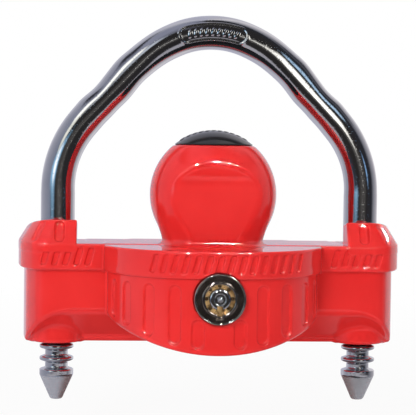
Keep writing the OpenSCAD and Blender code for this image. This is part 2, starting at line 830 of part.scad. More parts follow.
housing();
ball_cap();
rear_cover();
cover_screws();
lock_barrel();
barrel_pin();
pin_block();
driver_pins();
driver_springs();
bolt_guide();
guide_screws();
left_bolt_spring();
right_bolt_spring();
lock_plug();
spindle();
drive_cam();
crank_pins();
cam_pin();
key_pins();
left_bolt();
right_bolt();
shackle();
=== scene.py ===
import functools
import math

import bpy
import numpy as np
from mathutils import Matrix, Vector


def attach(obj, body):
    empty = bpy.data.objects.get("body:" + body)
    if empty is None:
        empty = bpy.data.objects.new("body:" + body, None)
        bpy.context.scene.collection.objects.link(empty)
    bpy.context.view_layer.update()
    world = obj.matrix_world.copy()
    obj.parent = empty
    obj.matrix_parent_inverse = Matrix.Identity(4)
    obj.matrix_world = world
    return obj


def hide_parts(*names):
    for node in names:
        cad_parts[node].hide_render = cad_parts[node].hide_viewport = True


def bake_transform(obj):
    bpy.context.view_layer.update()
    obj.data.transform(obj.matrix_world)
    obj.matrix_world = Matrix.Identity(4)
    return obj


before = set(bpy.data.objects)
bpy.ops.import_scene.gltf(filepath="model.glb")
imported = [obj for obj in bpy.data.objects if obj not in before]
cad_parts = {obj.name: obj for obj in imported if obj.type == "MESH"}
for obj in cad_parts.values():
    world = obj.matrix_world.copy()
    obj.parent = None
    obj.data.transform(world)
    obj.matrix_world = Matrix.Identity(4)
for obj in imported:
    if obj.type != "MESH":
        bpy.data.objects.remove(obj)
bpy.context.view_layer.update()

# Shapes are in millimetres until add_mesh; the scene is in metres
MM = 0.001


# Camera, at the photograph's angle: degrees, metres and millimetres of lens

CAMERA_AZ, CAMERA_EL, CAMERA_ROLL = -3.9, 2.3, 0.79
CAMERA_DISTANCE = 0.55
CAMERA_TARGET = Vector((-0.0018, 0.0, -0.00487))
CAMERA_LENS, CAMERA_SENSOR = 129.63, 36
CAMERA_CLIP = 0.02, 60


def make_camera():
    az, el, roll = (math.radians(v) for v in (CAMERA_AZ, CAMERA_EL, CAMERA_ROLL))
    back = Vector((math.sin(az) * math.cos(el), -math.cos(az) * math.cos(el), math.sin(el)))
    right = (-back).cross(Vector((0, 0, 1))).normalized()
    up = right.cross(-back)
    side = right * math.cos(roll) + up * math.sin(roll)
    top = up * math.cos(roll) - right * math.sin(roll)
    data = bpy.data.cameras.new("camera")
    data.lens = CAMERA_LENS
    data.sensor_width = CAMERA_SENSOR
    data.clip_start, data.clip_end = CAMERA_CLIP
    camera = bpy.data.objects.new("camera", data)
    turn = Matrix((side, top, back)).transposed().to_4x4()
    camera.matrix_world = Matrix.Translation(CAMERA_TARGET + back * CAMERA_DISTANCE) @ turn
    bpy.context.scene.collection.objects.link(camera)
    bpy.context.scene.camera = camera


make_camera()


# Fields: distance functions on arrays of millimetres, negative inside

BAR_SLANT, BAR_CORNER = 0.27, 0.7


def rounded_max(a, b, r):
    """Intersection of two fields with its edge rounded to r."""
    u = np.maximum(a + r, 0)
    v = np.maximum(b + r, 0)
    return np.minimum(np.maximum(a, b), -r) + np.sqrt(u * u + v * v)


def rounded_min(a, b, r):
    """Union of two fields with a fillet of r."""
    u = np.maximum(r - a, 0)
    v = np.maximum(r - b, 0)
    return np.maximum(np.minimum(a, b), r) - np.sqrt(u * u + v * v)


def common(*fields):
    """Intersection of fields with sharp edges."""
    return functools.reduce(np.maximum, fields)


def joined(*fields):
    """Union of fields with sharp corners."""
    return functools.reduce(np.minimum, fields)


def between(v, low, high):
    return np.maximum(low - v, v - high)


def rounded_rect(u, v, half_u, half_v, r):
    """Distance in a plane to a rectangle with round corners."""
    qu = np.abs(u) - half_u + r
    qv = np.abs(v) - half_v + r
    outside = np.hypot(np.maximum(qu, 0), np.maximum(qv, 0))
    return np.minimum(np.maximum(qu, qv), 0) + outside - r


def capsule(u, v, low, high, r):
    """Distance in a plane to a pill along v."""
    return np.hypot(u, v - np.clip(v, low, high)) - r


def slanted_bars(u, v, first, last, pitch, half_u, half_v):
    """Distance in a plane to a row of slanted bars."""
    u = u - BAR_SLANT * v
    k = np.clip(np.round(u / pitch), first, last)
    return rounded_rect(u - k * pitch, v, half_u, half_v, BAR_CORNER)


# Meshes

SLOPE_STEP, SLOPE_LEAST = 0.02, 0.3
DRAW_STEPS, DRAW_LIMIT = 3, 0.4
TINY = 1e-9


def steps_between(low, high, step):
    return np.linspace(low, high, int(round((high - low) / step)) + 1)


def add_mesh(name, points, faces, normals=None):
    mesh = bpy.data.meshes.new(name)
    mesh.from_pydata(np.asarray(points).tolist(), [], [tuple(f) for f in np.asarray(faces).tolist()])
    mesh.polygons.foreach_set("use_smooth", [True] * len(mesh.polygons))
    if normals is not None:
        mesh.normals_split_custom_set_from_vertices(np.asarray(normals).tolist())
    mesh.update()
    piece = bpy.data.objects.new(name, mesh)
    bpy.context.scene.collection.objects.link(piece)
    return piece


def slope_of(field, points):
    """The field's gradient, from four samples round each point."""
    slope = np.zeros_like(points)
    for sign in ((1, 1, 1), (1, -1, -1), (-1, 1, -1), (-1, -1, 1)):
        sign = np.array(sign, float)
        slope += field(*(points + SLOPE_STEP * sign).T)[:, None] * sign
    return slope / (4 * SLOPE_STEP)


def net_mesh(name, field, xs, ys, zs):
    """A mesh of the field's surface: one vertex per crossed cell of the grid, drawn on to it."""
    axes = [np.asarray(v, np.float32) for v in (xs, ys, zs)]
    d = field(*np.meshgrid(*axes, indexing="ij"))
    inside = d < 0
    cells, points, quads = [], [], []
    for a in range(3):
        b, c = (a + 1) % 3, (a + 2) % 3
        low, high = [slice(None)] * 3, [slice(None)] * 3
        low[a], high[a] = slice(0, -1), slice(1, None)
        at = np.argwhere(inside[tuple(low)] != inside[tuple(high)])
        for k in (b, c):
            at = at[(at[:, k] > 0) & (at[:, k] < d.shape[k] - 1)]
        to = at.copy()
        to[:, a] += 1
        d0, d1 = d[tuple(at.T)], d[tuple(to.T)]
        p = np.stack([axes[k][at[:, k]] for k in range(3)], 1)
        p[:, a] += d0 / (d0 - d1) * (axes[a][to[:, a]] - axes[a][at[:, a]])
        corners = []
        for db, dc in ((-1, -1), (0, -1), (0, 0), (-1, 0)):
            cell = at.copy()
            cell[:, b] += db
            cell[:, c] += dc
            corners.append(np.ravel_multi_index(tuple(cell.T), d.shape))
            points.append(p)
        quad = np.stack(corners, 1)
        quad[d0 > 0] = quad[d0 > 0][:, ::-1]
        cells.extend(corners)
        quads.append(quad)
    ids, spot = np.unique(np.concatenate(cells), return_inverse=True)
    points = np.concatenate(points)
    count = np.bincount(spot)
    p = np.stack([np.bincount(spot, points[:, k]) / count for k in range(3)], 1)
    faces = np.searchsorted(ids, np.concatenate(quads))
    limit = DRAW_LIMIT * min(float(np.min(np.diff(v))) for v in axes)
    for _ in range(DRAW_STEPS):
        slope = slope_of(field, p)
        steep = np.maximum((slope * slope).sum(1), SLOPE_LEAST)
        move = (field(*p.T) / steep)[:, None] * slope
        size = np.linalg.norm(move, axis=1, keepdims=True)
        p = p - move * np.minimum(1, limit / np.maximum(size, TINY))
    normals = slope_of(field, p)
    normals /= np.maximum(np.linalg.norm(normals, axis=1, keepdims=True), TINY)
    return add_mesh(name, p * MM, faces, normals)


def tube_faces(rings, sides, turned=False):
    """Faces of a tube of rings of points, closed at both ends; turned swaps its inside and outside."""
    faces = []
    for i in range(rings - 1):
        here, beyond = i * sides, (i + 1) * sides
        for j in range(sides):
            k = (j + 1) % sides
            a, b, c, d = here + j, here + k, beyond + k, beyond + j
            faces.append((a, d, c, b) if turned else (a, b, c, d))
    start, end = range(sides), range((rings - 1) * sides, rings * sides)
    caps = (start, end[::-1]) if turned else (start[::-1], end)
    return faces + [tuple(cap) for cap in caps]


def add_parts(name, parts):
    """One mesh of several sets of points and faces."""
    all_points, all_faces, count = [], [], 0
    for points, faces in parts:
        all_points.append(points)
        all_faces += [tuple(count + v for v in f) for f in faces]
        count += len(points)
    return add_mesh(name, np.concatenate(all_points) * MM, np.array(all_faces, dtype=object))


def finish_piece(piece, body, material, node):
    piece.data.materials.append(material)
    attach(piece, body)
    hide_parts(node)


# Materials

class Graph:
    """Short forms for a node tree: each adds a node, fills its inputs and gives its output."""

    def __init__(self, tree):
        self.nodes, self.links = tree.nodes, tree.links

    def add(self, kind, **settings):
        node = self.nodes.new("ShaderNode" + kind)
        for name, value in settings.items():
            setattr(node, name, value)
        return node

    def put(self, socket, value):
        """Link an output to the socket, or set a plain value on it."""
        if isinstance(value, bpy.types.NodeSocket):
            self.links.new(value, socket)
        else:
            socket.default_value = value

    def fill(self, inputs, values):
        for name, value in values.items():
            self.put(inputs[name], value)

    def place(self):
        """The point in the object's own metres."""
        return self.add("TexCoord").outputs["Object"]

    def split(self, vector):
        node = self.add("SeparateXYZ")
        self.put(node.inputs["Vector"], vector)
        return node.outputs

    def vector(self, operation, value, output):
        node = self.add("VectorMath", operation=operation)
        self.put(node.inputs[0], value)
        return node.outputs[output]

    def calc(self, operation, a, b):
        node = self.add("Math", operation=operation)
        self.put(node.inputs[0], a)
        self.put(node.inputs[1], b)
        return node.outputs[0]

    def noise(self, scale, detail, stretch=None):
        node = self.add("TexNoise")
        at = self.place()
        if stretch:
            mapping = self.add("Mapping")
            self.fill(mapping.inputs, {"Vector": at, "Scale": stretch})
            at = mapping.outputs["Vector"]
        self.fill(node.inputs, {"Vector": at, "Scale": scale, "Detail": detail})
        return node.outputs["Fac"]

    def ramp(self, value, stops):
        node = self.add("ValToRGB")
        elements = node.color_ramp.elements
        while len(elements) < len(stops):
            elements.new(0.5)
        for element, (at, colour) in zip(elements, stops):
            element.position = at
            element.color = (*colour, 1)
        self.put(node.inputs["Fac"], value)
        return node.outputs["Color"]

    def span(self, value, low, high, start=0.3, end=0.7):
        """The value's stretch from start to end, brought to low to high."""
        node = self.add("MapRange")
        self.fill(node.inputs, {"Value": value, "From Min": start, "From Max": end,
                                "To Min": low, "To Max": high})
        return node.outputs["Result"]

    def mix(self, share, a, b, kind="RGBA"):
        node = self.add("Mix", data_type=kind)
        self.fill(node.inputs, {"Factor": share, "A": a, "B": b})
        return node.outputs["Result"]

    def bump(self, height, strength, distance, below=None):
        node = self.add("Bump")
        self.fill(node.inputs, {"Strength": strength, "Distance": distance, "Height": height})
        if below is not None:
            self.put(node.inputs["Normal"], below)
        return node.outputs["Normal"]

    def light(self, kind, colour, strength=1.0):
        node = self.add(kind)
        self.fill(node.inputs, {"Color": colour, "Strength": strength})
        return node.outputs[0]

    def choose(self, share, first, second):
        """A mix of two shaders."""
        node = self.add("MixShader")
        for socket, value in zip(node.inputs, (share, first, second)):
            self.put(socket, value)
        return node.outputs[0]


def new_material(name):
    material = bpy.data.materials.new(name)
    material.use_nodes = True
    shader = material.node_tree.nodes["Principled BSDF"]
    return material, Graph(material.node_tree), shader.inputs


def powder_coat():
    material, graph, shader = new_material("red_powder_coat")
    patches = graph.noise(scale=40, detail=2)
    peel = graph.bump(graph.noise(scale=420, detail=2), strength=0.22, distance=0.00006)
    fine = graph.noise(scale=1900, detail=2)
    graph.fill(shader, {
        "Base Color": graph.ramp(patches, [(0.35, (0.80, 0.029, 0.028)), (0.65, (0.85, 0.036, 0.034))]),
        "Roughness": graph.span(graph.noise(scale=260, detail=3), 0.17, 0.27),
        "Normal": graph.bump(fine, strength=0.10, distance=0.00003, below=peel),
        "Coat Weight": 1.0,
        "Coat Roughness": 0.05,
        "Specular IOR Level": 0.0,
    })
    return material


def metal(name, light, dark, rough, scale, grain=0.12, stretch=None):
    material, graph, shader = new_material(name)
    tone = graph.noise(scale, detail=4, stretch=stretch)
    wear = graph.noise(scale * 2.3, detail=3, stretch=stretch)
    fine = graph.noise(scale=1400, detail=3, stretch=stretch)
    graph.fill(shader, {
        "Base Color": graph.ramp(tone, [(0.3, dark), (0.7, light)]),
        "Roughness": graph.span(wear, *rough),
        "Normal": graph.bump(fine, strength=grain, distance=0.00004),
        "Metallic": 1.0,
    })
    return material


# Heights (m) between which the points' satin zinc gives way to bright plate
ZINC_TOP, PLATE_LOW = -0.0693, -0.0687


def bar_chrome():
    """Bright plate on the bar, and satin zinc on the turned points of its legs."""
    material, graph, shader = new_material("bar_chrome")
    bright = graph.span(graph.split(graph.place())["Z"], 0, 1, ZINC_TOP, PLATE_LOW)
    chrome = graph.ramp(graph.noise(scale=90, detail=3),
                        [(0.3, (0.55, 0.56, 0.59)), (0.7, (0.63, 0.635, 0.65))])
    turned = graph.noise(scale=260, detail=3, stretch=(1, 1, 9))
    zinc = graph.ramp(turned, [(0.3, (0.56, 0.57, 0.59)), (0.7, (0.61, 0.62, 0.64))])
    zinc_rough = graph.span(turned, 0.22, 0.26)
    chrome_rough = graph.span(graph.noise(scale=240, detail=4), 0.035, 0.10)
    waves = graph.bump(graph.noise(scale=170, detail=2), strength=0.02, distance=0.00010)
    grain = graph.bump(graph.noise(scale=1200, detail=3), strength=0.09, distance=0.00003, below=waves)
    speckle = graph.span(graph.noise(scale=1500, detail=2), 0, 1, 0.60, 0.70)
    spots = graph.calc("MULTIPLY", speckle, bright)
    graph.fill(shader, {
        "Base Color": graph.mix(bright, zinc, chrome),
        "Roughness": graph.mix(bright, zinc_rough, chrome_rough, kind="FLOAT"),
        "Normal": graph.bump(spots, strength=0.15, distance=0.00006, below=grain),
        "Metallic": graph.span(bright, 0.68, 1.0, 0, 1),
    })
    return material


def black_plastic():
    material, graph, shader = new_material("cap_plastic")
    tone = graph.noise(scale=120, detail=3)
    fine = graph.noise(scale=900, detail=3)
    graph.fill(shader, {
        "Base Color": graph.ramp(tone, [(0.3, (0.010, 0.010, 0.011)), (0.7, (0.020, 0.020, 0.022))]),
        "Roughness": graph.span(graph.noise(scale=300, detail=3), 0.07, 0.15),
        "Normal": graph.bump(fine, strength=0.12, distance=0.00004),
        "Specular IOR Level": 0.36,
    })
    return material


RED = powder_coat()
CHROME = bar_chrome()
CAP = black_plastic()
# Light and dark tone, lowest and highest roughness, noise scale, grain and stretch
LOCK_CHROME = metal("lock_chrome", (0.46, 0.40, 0.36), (0.32, 0.27, 0.24), (0.05, 0.11), 160)
BRASS = metal("lock_brass", (0.80, 0.52, 0.23), (0.20, 0.10, 0.035), (0.22, 0.40), 420)
# Key pins near black: painted shade standing in for the dark holes round their tips
PAINTED_SHADE_PINS = metal("pin_painted_shade", (0.20, 0.12, 0.06), (0.09, 0.05, 0.025), (0.20, 0.40), 900)
POST = metal("post_steel", (0.74, 0.74, 0.75), (0.58, 0.58, 0.60), (0.05, 0.12), 500)
STEEL = metal("ground_steel", (0.58, 0.59, 0.61), (0.44, 0.45, 0.47), (0.22, 0.40), 260, 0.16, (1, 6, 1))
ZINC = metal("zinc_plate", (0.66, 0.68, 0.70), (0.50, 0.52, 0.55), (0.24, 0.40), 320, 0.14)
SPRING = metal("spring_steel", (0.44, 0.45, 0.47), (0.30, 0.31, 0.33), (0.20, 0.36), 500)


# Red casting: ball, deck with its round shield, ears and leg guards

# Ball, its flatter front, its pocket and its flat top under the cap
BALL_R, FRONT_R, FRONT_Y = 23.2, 25.6, 4.1
POCKET_Y, POCKET_Z, POCKET_LEAN, POCKET_LOW = -16.1, 5.2, math.radians(25), -17.3
SEAT_Z, NECK_R, NECK_ROOT, DECK_Z = 18.0, 18.4, 4, -18.4
# Shield with its band, and its flutes by degrees from the front
SHIELD_R, SHIELD_Y, SHIELD_LOW, SHIELD_ARC = 38.5, -1.5, -54.25, 78.0
BAND_R, BAND_LOW, CORE_DROP = 40.0, -28.0, 1
FLUTES = (11.0, 23.5, 39.0, 55.5, 69.5)
FLUTE_R, FLUTE_DEPTH, FLUTE_ABOVE, FLUTE_BELOW = 2.2, 0.9, 2.3, 2.0
# Plain sunk bars on the bands, in place of lettering
BAR_PITCH, BAR_HALF_W, BAR_HALF_H, BAR_DEPTH = 4.0, 0.95, 3.1, 0.9
SHIELD_BARS, SHIELD_BARS_Z = (-6, 8), -22.9
EAR_BARS, EAR_BARS_X, EAR_BARS_Z, EAR_BARS_BACK = (-2, 2), 53.0, -23.0, 4
# Ears: outline from above, band, bevel underneath and boss round each leg
EAR_X, EAR_FRONT, EAR_BACK, EAR_OUT = 69.9, -3.0, 26.0, 2.1
EAR_FLAT, FACET_L, FACET_TURN = 63.0, 5.5, math.radians(48)
FACET_X = EAR_FLAT + FACET_L * math.cos(FACET_TURN)
FACET_Y = EAR_FRONT + FACET_L * math.sin(FACET_TURN)
BACK_CHAMFER, UNDER_Z = 3.0, -55.8
BEVEL_Z, LIP_Y, LIP_Z = -43.5, 11.0, -53.3
BEVEL_END, BEVEL_TILT, BEVEL_TURN = 56.0, math.radians(33), math.radians(41)
BOSS_R, BOSS_LOW, BOSS_TOP = 10, -56.0, -37
# Leg guards with their recesses
GUARD_TOP, GUARD_LEAN, GUARD_FALL, GUARD_IN = -9.85, 5.3, 3.6, 49.65
GUARD_ROOT, SLOT_IN = 3, 3
RECESS_R, RECESS_EDGE, RECESS_IN, RECESS_OUT = 1.75, 0.7, 1.2, 3.6
RECESS_DEPTH, RECESS_REACH = 1.5, 3.0
# Legs and lock
LEG_X, LEG_Y, LEG_R, BORE_R = 57.15, 15.0, 6.35, 6.65
SIDE_TURN = math.atan2(LEG_Y - FACET_Y, EAR_X - FACET_X)
LOCK_Z, FACE_Y, BARREL_R, BARREL_END = -34.6, -42.1, 8.9, -14.1
BARREL_GAP, BARREL_PAST, BARREL_WALL = 0.05, 1, 3
# Hollow inside: rear chamber, front chamber, cover's seat, bolts' windows, cap's stem and dowel
CHAMBER_X, CHAMBER_FRONT, CHAMBER_Z = 43, 3, (-44, -23.4)
FRONT_CHAMBER_R, FRONT_CHAMBER_BACK = 33, 4
COVER_X, COVER_Z, COVER_Y, COVER_GAP = 47, (-48, -21.4), (23.5, 26), 0.15
WINDOW_IN, WINDOW_Y = 42, (9.3, 20.7)
LEFT_WINDOW_Z, RIGHT_WINDOW_Z = (-34.5, -28.1), (-41.1, -34.7)
STEM_R, STEM_LOW, STEM_GAP = 5, 10, 0.1
DOWEL_R, DOWEL_Y = 1.52, -22.1


def ball_field(x, y, z):
    ball = np.sqrt(x * x + y * y + z * z) - BALL_R
    front = np.sqrt(x * x + (y - FRONT_Y) ** 2 + z * z) - FRONT_R
    body = rounded_max(ball, front, r=0.9)
    body = rounded_max(body, z - SEAT_Z, r=0.6)
    neck = common(np.hypot(x, y) - NECK_R, between(z, DECK_Z - NECK_ROOT, 0))
    return rounded_min(body, neck, r=2.5)


def pocket_field(y, z):
    """The flat pocket in the ball's front, which ends in a small step over the deck."""
    ahead = y - POCKET_Y
    ceiling = math.cos(POCKET_LEAN) * ahead + math.sin(POCKET_LEAN) * (z - POCKET_Z)
    return rounded_max(rounded_max(ahead, ceiling, r=0.9), POCKET_LOW - z, r=0.5)


def facing(ax, y, at_x, at_y, turn):
    """Distance in front of an upright face that is turned away from the front."""
    return (ax - at_x) * math.sin(turn) - (y - at_y) * math.cos(turn)


def ear_plan(ax, y, grow, lean=0.0):
    """Distance to the ears' outline from above, its front and sides grown outward and leaned in."""
    shift = lean - grow
    facet = facing(ax, y, EAR_FLAT, EAR_FRONT, FACET_TURN) + shift
    body = rounded_max(EAR_FRONT - y + shift, facet, r=3.2)
    body = rounded_max(body, facing(ax, y, FACET_X, FACET_Y, SIDE_TURN) + shift, r=4.0)
    body = rounded_max(body, ax - EAR_X + shift, r=2.0)
    back = (ax - EAR_X - grow + y - EAR_BACK + BACK_CHAMFER) * math.sqrt(0.5)
    return rounded_max(rounded_max(body, back, r=1.5), y - EAR_BACK, r=1.2)


def shield_field(x, ax, y, z):
    y = y - SHIELD_Y
    rho = np.hypot(x, y)
    lower = np.hypot(x, z - SHIELD_LOW - SHIELD_ARC) - SHIELD_ARC
    core = rounded_max(rho - SHIELD_R, lower, r=1.0)
    core = common(core, z - DECK_Z + CORE_DROP)
    band = rounded_max(rho - BAND_R, between(z, BAND_LOW, DECK_Z), r=0.8)
    arc = BAND_R * np.arctan2(x, -y)
    bars = slanted_bars(arc, z - SHIELD_BARS_Z, *SHIELD_BARS, BAR_PITCH, BAR_HALF_W, BAR_HALF_H)
    band = rounded_max(band, -rounded_max(bars, BAND_R - BAR_DEPTH - rho, r=0.3), r=0.55)
    for angle in FLUTES:
        a = math.radians(angle)
        across = ax * math.cos(a) + y * math.sin(a)
        out = ax * math.sin(a) - y * math.cos(a)
        at = SHIELD_R * math.sin(a)
        top = LOCK_Z - math.sqrt(BARREL_R ** 2 - at * at) if at < BARREL_R else BAND_LOW
        top -= FLUTE_ABOVE
        foot = SHIELD_LOW + SHIELD_ARC - math.sqrt(SHIELD_ARC ** 2 - at * at) + FLUTE_BELOW
        pill = capsule(across, z, foot + FLUTE_R, top - FLUTE_R, FLUTE_R)
        flute = rounded_max(pill, SHIELD_R - FLUTE_DEPTH - out, r=0.6)
        core = rounded_max(core, -flute, r=0.5)
    body = rounded_min(core, band, r=0.35)
    return common(body, y + SHIELD_Y - EAR_BACK)


def ears_field(x, ax, y, z):
    body = rounded_max(ear_plan(ax, y, 0), z - DECK_Z, r=0.9)
    body = rounded_max(body, UNDER_Z - z, r=1.5)
    run, fall = LIP_Y - EAR_FRONT, BEVEL_Z - LIP_Z
    above = ((y - EAR_FRONT) * fall + (z - BEVEL_Z) * run) / math.hypot(run, fall)
    outward = (ax - BEVEL_END) * math.cos(BEVEL_TURN) + (y - EAR_FRONT) * math.sin(BEVEL_TURN)
    corner = outward * math.sin(BEVEL_TILT) + (z - BEVEL_Z) * math.cos(BEVEL_TILT)
    cut = rounded_max(rounded_max(y - LIP_Y, above, r=0.7), corner, r=1.2)
    body = rounded_max(body, -cut, r=1.6)
    boss = np.hypot(ax - LEG_X, y - LEG_Y) - BOSS_R
    boss = rounded_max(boss, between(z, BOSS_LOW, BOSS_TOP), r=1.0)
    body = rounded_min(body, boss, r=1.2)
    plan = ear_plan(ax, y, EAR_OUT)
    band = rounded_max(plan, between(z, BAND_LOW, DECK_Z), r=0.9)
    bars = slanted_bars(x - np.sign(x) * EAR_BARS_X, z - EAR_BARS_Z, *EAR_BARS,
                        BAR_PITCH, BAR_HALF_W, BAR_HALF_H)
    bars = common(bars, y - EAR_BARS_BACK)
    band = rounded_max(band, -rounded_max(bars, -BAR_DEPTH - plan, r=0.3), r=0.55)
    return rounded_min(body, band, r=0.35)


def guard_field(ax, y, z):
    height = GUARD_TOP - DECK_Z
    slope_cos = height / math.hypot(height, GUARD_LEAN)
    lean = GUARD_LEAN * (z - DECK_Z) / height
    slope = ear_plan(ax, y, EAR_OUT, lean) * slope_cos
    body = rounded_max(slope, GUARD_IN - ax, r=0.7)
    front_y = EAR_FRONT - EAR_OUT
    fall = GUARD_FALL / (EAR_BACK - front_y - GUARD_LEAN)
    top = z - GUARD_TOP + fall * (y - front_y - GUARD_LEAN)
    body = rounded_max(body, top / math.hypot(1, fall), r=0.6)
    body = common(body, DECK_Z - GUARD_ROOT - z)
    along = (z - DECK_Z) / slope_cos
    edge = RECESS_EDGE + RECESS_R
    facet_x = EAR_FLAT + EAR_OUT * math.tan(FACET_TURN / 2) + RECESS_OUT * math.cos(FACET_TURN)
    facet_y = front_y + RECESS_OUT * math.sin(FACET_TURN)
    for turn, at_x, at_y in ((0.0, LEG_X - RECESS_IN, front_y), (FACET_TURN, facet_x, facet_y)):
        across = (ax - at_x) * math.cos(turn) + (y - at_y) * math.sin(turn)
        depth = (facing(ax, y, at_x, at_y, turn) + lean) * slope_cos
        pill = capsule(across, along, edge, height / slope_cos - edge, RECESS_R)
        pill = common(pill, -RECESS_REACH - depth)
        body = rounded_max(body, -rounded_max(pill, -RECESS_DEPTH - depth, r=1.1), r=0.35)
    return common(body, ear_plan(ax, y, EAR_OUT))


def hollow_field(x, ax, y, z, lock):
    chamber_z = between(z, *CHAMBER_Z)
    room = common(ax - CHAMBER_X, chamber_z, CHAMBER_FRONT - y)
    barrel_wall = common(lock - BARREL_R - BARREL_WALL, y - BARREL_END)
    front = common(np.hypot(x, y - SHIELD_Y) - FRONT_CHAMBER_R, chamber_z, y - FRONT_CHAMBER_BACK,
                   -barrel_wall)
    seat_z = between(z, COVER_Z[0] - COVER_GAP, COVER_Z[1] + COVER_GAP)
    seat = common(ax - COVER_X - COVER_GAP, seat_z, COVER_Y[0] - y)
    left = common(between(z, *LEFT_WINDOW_Z), between(x, -LEG_X, -WINDOW_IN))
    right = common(between(z, *RIGHT_WINDOW_Z), between(x, WINDOW_IN, LEG_X))
    window = common(joined(left, right), between(y, *WINDOW_Y))
    stem = common(np.hypot(x, y) - STEM_R - STEM_GAP, STEM_LOW - STEM_GAP - z)
    dowel = common(np.hypot(x, y - DOWEL_Y) - DOWEL_R, z - LOCK_Z)
    return joined(room, front, seat, window, stem, dowel)


def casting(x, y, z):
    ax = np.abs(x)
    body = rounded_min(shield_field(x, ax, y, z), ears_field(x, ax, y, z), r=0.9)
    body = rounded_min(body, guard_field(ax, y, z), r=0.4)
    body = rounded_min(body, ball_field(x, y, z), r=2.5)
    body = rounded_max(body, -pocket_field(y, z), r=0.9)
    leg = np.hypot(ax - LEG_X, y - LEG_Y) - BORE_R
    slot = common(LEG_Y - BORE_R - y, between(ax, GUARD_IN - SLOT_IN, LEG_X), DECK_Z - z)
    body = rounded_max(body, -joined(leg, slot), r=0.5)
    lock = np.hypot(x, z - LOCK_Z)
    bore = common(lock - BARREL_R - BARREL_GAP, y - BARREL_END - BARREL_PAST)
    body = rounded_max(body, -bore, r=0.6)
    return common(body, -hollow_field(x, ax, y, z, lock))


GRID = 0.48
housing = net_mesh("housing_casting", casting, steps_between(-73.1, 73.1, GRID),
                   steps_between(-43.5, 27.3, GRID), steps_between(-57.3, 19.3, GRID))
finish_piece(housing, "body", RED, "housing")


# Cap on the ball, with a row of small raised bars over its top

CAP_R, CAP_H = 14.64, 5.35
CAP_DOME = (CAP_R ** 2 + CAP_H ** 2) / (2 * CAP_H)
CAP_BARS, CAP_BARS_Y, CAP_BAR_PITCH, CAP_BAR_HALVES, CAP_BAR_RISE = (-5, 5), -0.4, 2.3, (0.75, 2.2), 0.22
STEM_TOP = 20
CAP_GRID = steps_between(-15.5, 15.5, 0.3)


def cap_field(x, y, z):
    dome = np.sqrt(x * x + y * y + (z - SEAT_Z - CAP_H + CAP_DOME) ** 2) - CAP_DOME
    body = rounded_max(dome, SEAT_Z - z, r=0.5)
    bars = slanted_bars(x, y - CAP_BARS_Y, *CAP_BARS, CAP_BAR_PITCH, *CAP_BAR_HALVES)
    body = rounded_min(body, rounded_max(bars, dome - CAP_BAR_RISE, r=0.15), r=0.15)
    stem = common(np.hypot(x, y) - STEM_R, between(z, STEM_LOW, STEM_TOP))
    return joined(body, stem)


cap = net_mesh("ball_cap_dome", cap_field, CAP_GRID, CAP_GRID,
               np.concatenate([steps_between(9.4, 17.2, 0.6), steps_between(17.5, 24.4, 0.3)]))
finish_piece(cap, "body", CAP, "ball_cap")


# Lock: barrel, post and key pins

KEYWAY_R, KEYWAY_END, BARREL_BORE_R, BARREL_BORE_FRONT = 5.2, -38.5, 6.05, -38.6
FACE_RING_R, FACE_RING_HALF, FACE_RING_DEPTH = 7.2, 1.15, 0.18
NOTCH_HALF, NOTCH_IN, NOTCH_OUT = 1.0, 2.3, 6.6
POST_R, POST_FRONT, POST_RECESS_R, POST_FLOOR, POST_DOT_R = 3.75, -41.9, 1.9, -41.3, 1.0
SPINDLE_R, SPINDLE_Y = 2.3, (-40.9, 9.2)
# Pins between the outer and inner diameters of the round key
KEY_OUTER, KEY_INNER = 10.4, 7.5
PIN_COUNT, PIN_STEP, PIN_RING_R = 7, math.radians(45), (KEY_OUTER + KEY_INNER) / 4
# Radius of a key pin by its place along Y
PIN_PROFILE = [(0.22, -39.0), (0.45, -38.97), (0.60, -38.86), (0.68, -38.7), (0.70, -38.5),
               (0.70, -22.6), (0.6, -22.5)]
PIN_SIDES = 20


def barrel_field(x, y, z):
    rho = np.hypot(x, z - LOCK_Z)
    body = rounded_max(rho - BARREL_R, between(y, FACE_Y, BARREL_END), r=0.42)
    ring = common(np.abs(rho - FACE_RING_R) - FACE_RING_HALF, y - FACE_Y - FACE_RING_DEPTH)
    body = rounded_max(body, -ring, r=0.12)
    body = rounded_max(body, -common(rho - KEYWAY_R, y - KEYWAY_END), r=0.35)
    body = common(body, -common(rho - BARREL_BORE_R, BARREL_BORE_FRONT - y))
    notch = common(np.abs(x) - NOTCH_HALF, y - KEYWAY_END, between(z, LOCK_Z - NOTCH_OUT, LOCK_Z))
    return rounded_max(body, -notch, r=0.35)


def post_field(x, y, z):
    rho = np.hypot(x, z - LOCK_Z)
    post = rounded_max(rho - POST_R, between(y, POST_FRONT, KEYWAY_END), r=0.7)
    post = rounded_max(post, -common(rho - POST_RECESS_R, y - POST_FLOOR), r=0.25)
    post = joined(post, np.sqrt(rho * rho + (y - POST_FLOOR) ** 2) - POST_DOT_R)
    notch = common(np.abs(x) - NOTCH_HALF, y - KEYWAY_END, z - LOCK_Z + NOTCH_IN)
    post = rounded_max(post, -notch, r=0.2)
    return joined(post, common(rho - SPINDLE_R, between(y, *SPINDLE_Y)))


def lathe(profile, sides):
    """Points and faces of a turned shape along +Y, closed at both ends."""
    turns = np.arange(sides) * 2 * math.pi / sides
    points = [(r * math.cos(t), h, r * math.sin(t)) for r, h in profile for t in turns]
    return np.array(points), tube_faces(len(profile), sides)


def pin_places():
    for k in range(1, PIN_COUNT + 1):
        a = k * PIN_STEP
        yield -PIN_RING_R * math.sin(a), LOCK_Z - PIN_RING_R * math.cos(a)


def pin_set():
    points, faces = lathe(PIN_PROFILE, PIN_SIDES)
    return add_parts("key_pin_set", [(points + np.array((x, 0, z)), faces) for x, z in pin_places()])


